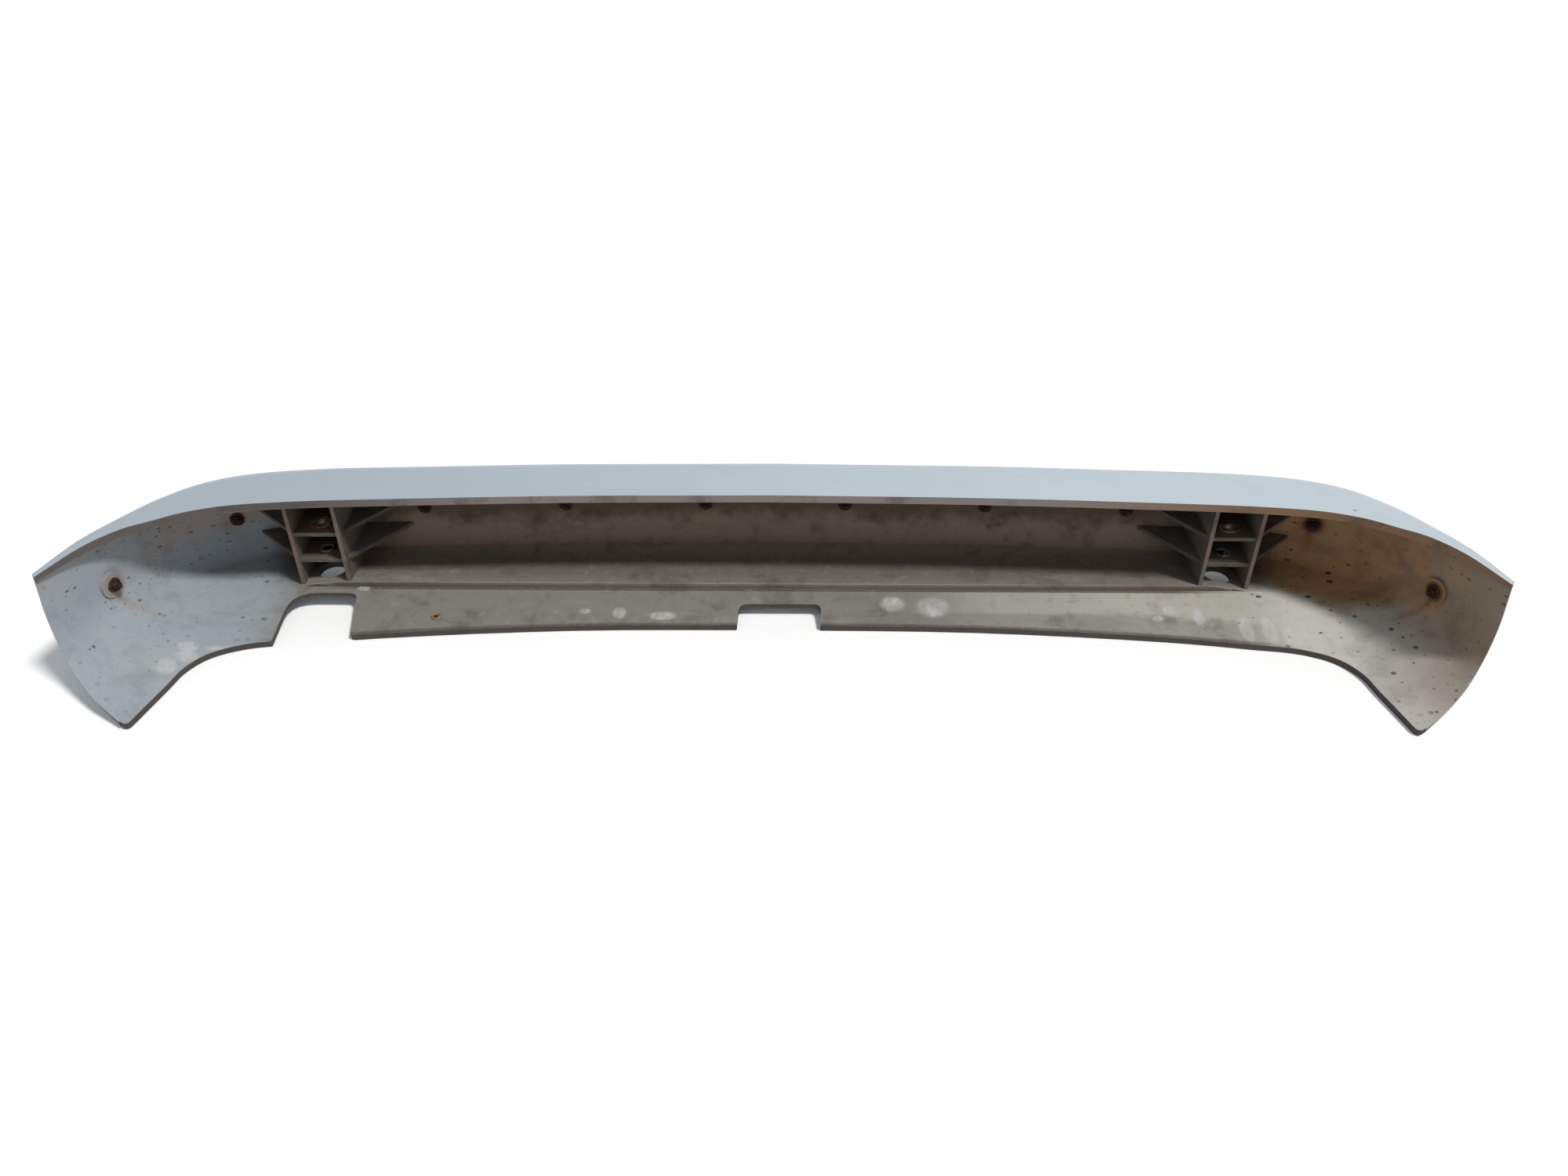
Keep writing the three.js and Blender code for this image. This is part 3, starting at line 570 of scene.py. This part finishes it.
def eyeletFinish():
    g = Graph("tarnished eyelet")
    patch = g.cloud(300.0, 5.0)
    color = g.mixed(patch.fade(0.4, 0.7), shade(168, 148, 104), shade(92, 72, 48))
    rough = 0.4 + patch * 0.35
    return g.finish(color, rough.held(), g.bump(patch, 0.4, 0.0004), metallic=0.6)


def floorFinish():
    g = Graph("pale studio floor")
    patch = g.cloud(1.5, 3.0)
    color = g.mixed(patch * 0.3, (0.9, 0.9, 0.9), (0.87, 0.87, 0.875))
    rough = 0.85 + patch * 0.1
    return g.finish(color, rough.held())


def copyOfNode(node, name):
    # a welded copy of a CAD node's mesh, ready for finer work
    mesh = nodes[node].data.copy()
    mesh.name = name
    mesh.materials.clear()
    bm = bmesh.new()
    bm.from_mesh(mesh)
    bmesh.ops.remove_doubles(bm, verts=bm.verts, dist=0.02 * mm)
    bmesh.ops.join_triangles(
        bm,
        faces=bm.faces,
        angle_face_threshold=math.radians(2),
        angle_shape_threshold=math.radians(180),
    )
    bmesh.ops.dissolve_limit(bm, angle_limit=math.radians(0.4), verts=bm.verts, edges=bm.edges)
    bm.normal_update()
    bm.to_mesh(mesh)
    bm.free()
    for layer in list(mesh.attributes):
        if layer.name == "custom_normal":
            mesh.attributes.remove(layer)
    piece = bpy.data.objects.new(name, mesh)
    bpy.context.scene.collection.objects.link(piece)
    return piece


def roundEdges(piece, width, steps=3, angle=38):
    bevel = piece.modifiers.new("rounded edges", "BEVEL")
    bevel.width = width
    bevel.segments = steps
    bevel.limit_method = "ANGLE"
    bevel.angle_limit = math.radians(angle)
    piece.data.shade_smooth()
    piece.data.set_sharp_from_angle(angle=math.radians(angle))
    level = piece.modifiers.new("even shading", "WEIGHTED_NORMAL")
    level.keep_sharp = True


crust = {
    "cuts": 3,
    "amount": 0.9 * mm,
    "grain": 2.6 * mm,
}


def crustOver(piece):
    # swells and pits a small steel piece the way thick rust does
    bm = bmesh.new()
    bm.from_mesh(piece.data)
    bmesh.ops.triangulate(bm, faces=bm.faces)
    bmesh.ops.subdivide_edges(bm, edges=bm.edges, cuts=crust["cuts"], use_grid_fill=True)
    bmesh.ops.smooth_vert(
        bm,
        verts=bm.verts,
        factor=0.5,
        use_axis_x=True,
        use_axis_y=True,
        use_axis_z=True,
    )
    bm.normal_update()
    for vert in bm.verts:
        vert.co += vert.normal * (noise.noise(vert.co / crust["grain"]) * crust["amount"])
    bm.to_mesh(piece.data)
    bm.free()
    piece.data.shade_smooth()


def settle(piece, material, replaced):
    piece.data.materials.append(material)
    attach(piece, "root")
    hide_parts(replaced)


def zoneOfFace(center, normal, depth, nearBoss):
    # (1, 0) on the painted outer skin, (0, 1) on trimmed edges and hole walls, (0, 0) on the inner skin
    side = 1 if center.x > 0 else -1
    coreX = max(-shell["coreHalfWidth"], min(shell["coreHalfWidth"], center.x))
    core = Vector((coreX, shellHigh.y - shell["coreBack"], shell["coreHeight"]))
    outward = normal.dot(core - center) < 0
    if nearBoss and not (outward and depth < shell["wall"] * shell["bossSkinLimit"]):
        return 0.0, 0.0
    level = abs(normal.z) < 0.4
    towardCar = normal.y < -0.3 or normal.x * side < -0.5
    rim = level and center.z > shellHigh.z - shell["rimHeight"] - mm and towardCar
    offStep = abs(center.y - shellHigh.y + shell["stepBack"]) > 4 * mm
    belowFloor = center.z < shell["floorTop"] - 4 * mm
    lowWall = belowFloor and abs(center.x) < shell["endOfLip"] and offStep
    lipEnd = level and towardCar and (center.z < shell["endHeight"] or lowWall)
    sheet = depth < shell["wall"] * shell["sheetLimit"]
    if rim or lipEnd or not sheet:
        return 0.0, 1.0
    return float(outward), 0.0


def buildShell():
    piece = copyOfNode("bumper_cover", "shell_moulding")
    mesh = piece.data
    corners = [vert.co for vert in mesh.vertices]
    tree = BVHTree.FromPolygons(corners, [tuple(face.vertices) for face in mesh.polygons])
    bosses = [boxMiddle(f"strip_nut_{number}") for number in ("01", "10")]
    paint = mesh.attributes.new("paint", "FLOAT", "FACE")
    cut = mesh.attributes.new("cut", "FLOAT", "FACE")
    for face in mesh.polygons:
        behind = tree.ray_cast(face.center - face.normal * 0.2 * mm, -face.normal)
        depth = behind[3] if behind[0] else 0.0
        nearBoss = min((face.center - boss).length for boss in bosses) < shell["bossReach"]
        painted, trimmed = zoneOfFace(face.center, face.normal, depth, nearBoss)
        paint.data[face.index].value = painted
        cut.data[face.index].value = trimmed
    roundEdges(piece, shell["edgeRound"])
    settle(piece, coverFinish(), "bumper_cover")
    print("shell moulding:", len(mesh.polygons), "faces")


def buildBlocks():
    material = blockFinish()
    for side in ("left", "right"):
        piece = copyOfNode(f"mount_block_{side}", f"ribbed_block_{side}")
        roundEdges(piece, 1.4 * mm)
        settle(piece, material, f"mount_block_{side}")
    print("ribbed blocks")


def buildStrips():
    material = rubberFinish()
    for side in ("left", "center", "right"):
        piece = copyOfNode(f"rub_strip_{side}", f"outer_strip_{side}")
        roundEdges(piece, 1.2 * mm, angle=50)
        settle(piece, material, f"rub_strip_{side}")
    print("rub strips")


def buildSmallParts():
    rust = rustFinish()
    steel = bushFinish()
    brass = eyeletFinish()
    for node in sorted(nodes):
        kind = node.split("_")
        if kind[0] == "strip":
            piece = copyOfNode(node, f"rusty_{kind[1]}_{kind[2]}")
            if kind[1] == "stud":
                roundEdges(piece, 0.4 * mm, 2)
            else:
                crustOver(piece)
            settle(piece, rust, node)
        elif kind[1] == "bush":
            piece = copyOfNode(node, f"shelf_{kind[0]}_{kind[1]}_{kind[2]}")
            roundEdges(piece, 0.5 * mm, 2)
            settle(piece, steel, node)
        elif node == "lip_eyelet":
            piece = copyOfNode(node, "round_eyelet")
            roundEdges(piece, 0.3 * mm, 2)
            settle(piece, brass, node)
    print("fasteners, bushes and eyelet")


studio = {
    "sunStrength": 2.75,
    "sunSpread": 9,                         # degrees across, for soft shadow edges
    "sunFrom": Vector((0.46, -0.26, 0.9)),
    "sunColor": (1.0, 0.985, 0.965),
    "skyStrength": 0.5,
    "skyColor": (0.93, 0.96, 1.0, 1.0),
    "floorSize": 40.0,
    "floorGap": 0.5 * mm,                   # keeps the part's underside off the floor
}

cameraSetup = {
    "lens": 27.0,
    "sensorWidth": 36.0,
    "aside": 0.012,         # from the middle of the part
    "behindFace": 1.36,     # from the outer face toward the car
    "aboveTop": 0.7345,
    "pitch": 34.9,
    "roll": 0.3,
}


def addCamera():
    data = bpy.data.cameras.new("camera")
    data.lens = cameraSetup["lens"]
    data.sensor_width = cameraSetup["sensorWidth"]
    camera = bpy.data.objects.new("camera", data)
    place = Vector((
        cameraSetup["aside"],
        shellHigh.y - cameraSetup["behindFace"],
        shellHigh.z + cameraSetup["aboveTop"],
    ))
    tilt = Matrix.Rotation(math.radians(90 - cameraSetup["pitch"]), 4, "X")
    roll = Matrix.Rotation(math.radians(cameraSetup["roll"]), 4, "Z")
    camera.matrix_world = Matrix.Translation(place) @ tilt @ roll
    bpy.context.scene.collection.objects.link(camera)
    bpy.context.scene.camera = camera


def addSun():
    data = bpy.data.lights.new("wide soft key", "SUN")
    data.energy = studio["sunStrength"]
    data.angle = math.radians(studio["sunSpread"])
    data.color = studio["sunColor"]
    lamp = bpy.data.objects.new("wide soft key", data)
    lamp.rotation_euler = (-studio["sunFrom"]).to_track_quat("-Z", "Y").to_euler()
    bpy.context.scene.collection.objects.link(lamp)


def addStage():
    mesh = bpy.data.meshes.new("studio_floor")
    half = studio["floorSize"] / 2
    corners = [(-half, -half, 0), (half, -half, 0), (half, half, 0), (-half, half, 0)]
    mesh.from_pydata(corners, [], [(0, 1, 2, 3)])
    floor = bpy.data.objects.new("studio_floor", mesh)
    floor.data.materials.append(floorFinish())
    floor.location.z = cadLow.z - studio["floorGap"]
    bpy.context.scene.collection.objects.link(floor)

    addSun()

    world = bpy.data.worlds.new("studio sky")
    bpy.context.scene.world = world
    world.use_nodes = True
    backdrop = world.node_tree.nodes["Background"]
    backdrop.inputs["Color"].default_value = studio["skyColor"]
    backdrop.inputs["Strength"].default_value = studio["skyStrength"]
    bpy.context.scene.view_settings.view_transform = "Standard"


addCamera()
addStage()
buildShell()
buildBlocks()
buildStrips()
buildSmallParts()
